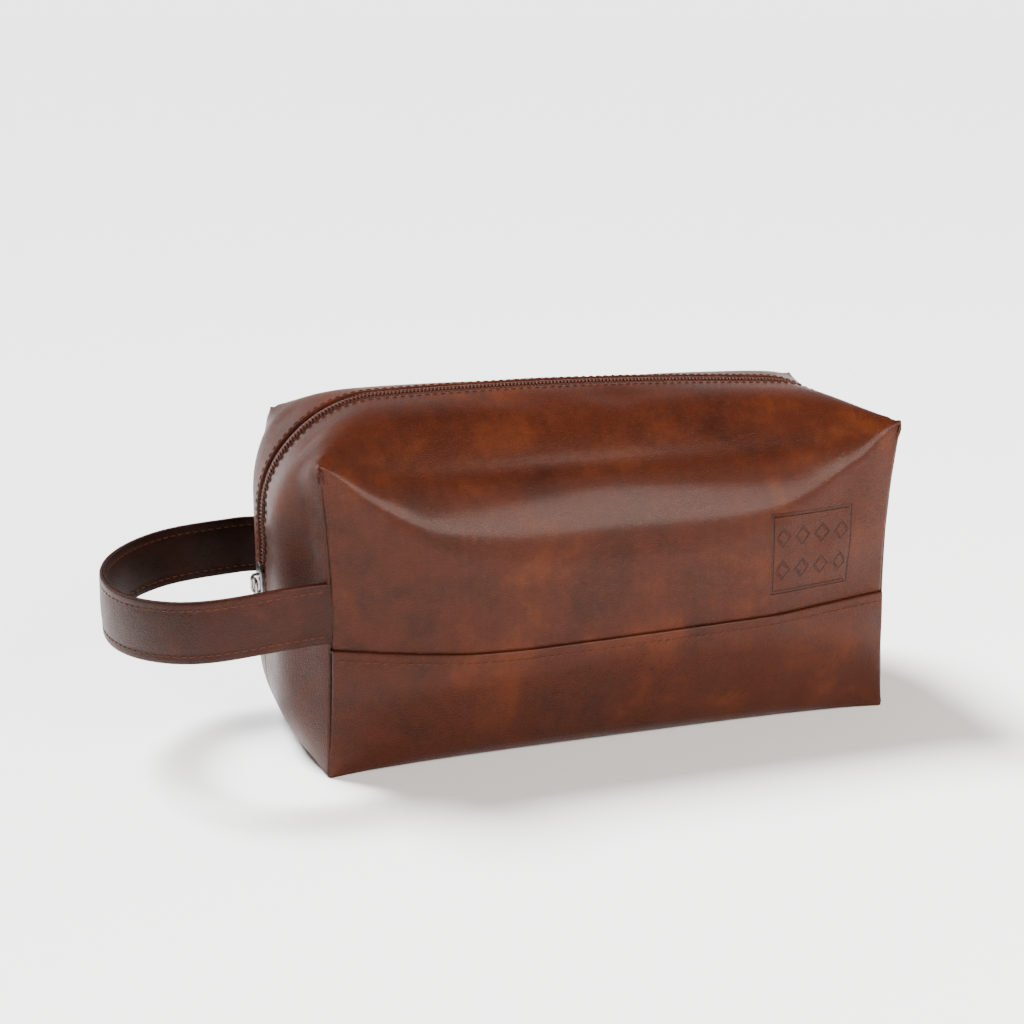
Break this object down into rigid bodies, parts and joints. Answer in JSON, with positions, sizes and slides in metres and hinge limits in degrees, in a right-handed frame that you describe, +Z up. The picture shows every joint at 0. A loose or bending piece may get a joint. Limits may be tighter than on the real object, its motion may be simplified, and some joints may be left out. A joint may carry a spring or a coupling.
{
  "type": "shaving kit bag",
  "caption": "Boxy brown leather wash bag with a zipper over the top and both ends, a stitched base band and a carrying strap loop on one end.",
  "frame": {"origin": "centre of the base, on the face that the bag stands on", "axes": "+X along the bag away from its strap, +Z up, -Y towards the front panel"},
  "size_m": [0.3461, 0.1232, 0.1448],
  "materials": {
    "brown_leather": "semi-gloss mottled brown, fine grain",
    "dark_leather": "satin very dark brown",
    "lining_cloth": "plain woven lining",
    "binding_tape": "ribbed binding tape",
    "zip_tape": "woven herringbone tape",
    "zip_coil": "satin nylon",
    "zip_metal": "polished nickel",
    "board": "plain grey-brown board",
    "thread": "waxed tan sewing thread"
  },
  "bodies": {
    "bag": {"base_band": "brown_leather", "front_panel": "brown_leather", "back_panel": "brown_leather", "front_lining": "lining_cloth", "back_lining": "lining_cloth", "base_lining": "lining_cloth", "base_board": "board", "slip_pocket": "lining_cloth", "left_seam_bindings": "binding_tape", "right_seam_bindings": "binding_tape", "front_end_tapes": "zip_tape", "back_end_tapes": "zip_tape", "front_end_coils": "zip_coil", "back_end_coils": "zip_coil", "top_stops": "zip_metal", "bottom_stop": "zip_metal", "strap_ends": "brown_leather"},
    "front_flap": {"front_top_panel": "brown_leather", "front_top_lining": "lining_cloth", "front_top_tape": "zip_tape", "front_top_coil": "zip_coil"},
    "back_flap": {"back_top_panel": "brown_leather", "back_top_lining": "lining_cloth", "back_top_tape": "zip_tape", "back_top_coil": "zip_coil"},
    "slider": {"slider_body": "zip_metal", "slider_bridge": "zip_metal"},
    "puller": {"puller": "zip_metal"},
    "strap": {"strap_outer": "brown_leather", "strap_inner": "dark_leather"}
  },
  "joints": [
    {"name": "front_flap_fold", "type": "hinge", "parent": "bag", "child": "front_flap", "pos_m": [0, -0.0525, 0.13], "axis": [1, 0, 0], "range_deg": [0, 70]},
    {"name": "back_flap_fold", "type": "hinge", "parent": "bag", "child": "back_flap", "pos_m": [0, 0.0525, 0.13], "axis": [-1, 0, 0], "range_deg": [0, 70]},
    {"name": "slider_run", "type": "slide", "parent": "bag", "child": "slider", "axis": [0, 0, 1], "range_m": [0, 0.0195]},
    {"name": "puller_swing", "type": "hinge", "parent": "slider", "child": "puller", "pos_m": [-0.14285, 0, 0.06918], "axis": [0, 1, 0], "range_deg": [0, 165]},
    {"name": "strap_swing", "type": "hinge", "parent": "bag", "child": "strap", "pos_m": [-0.14, 0, 0.069], "axis": [0, 1, 0], "range_deg": [-25, 30], "stiffness_Nm_per_rad": 0.4}
  ]
}
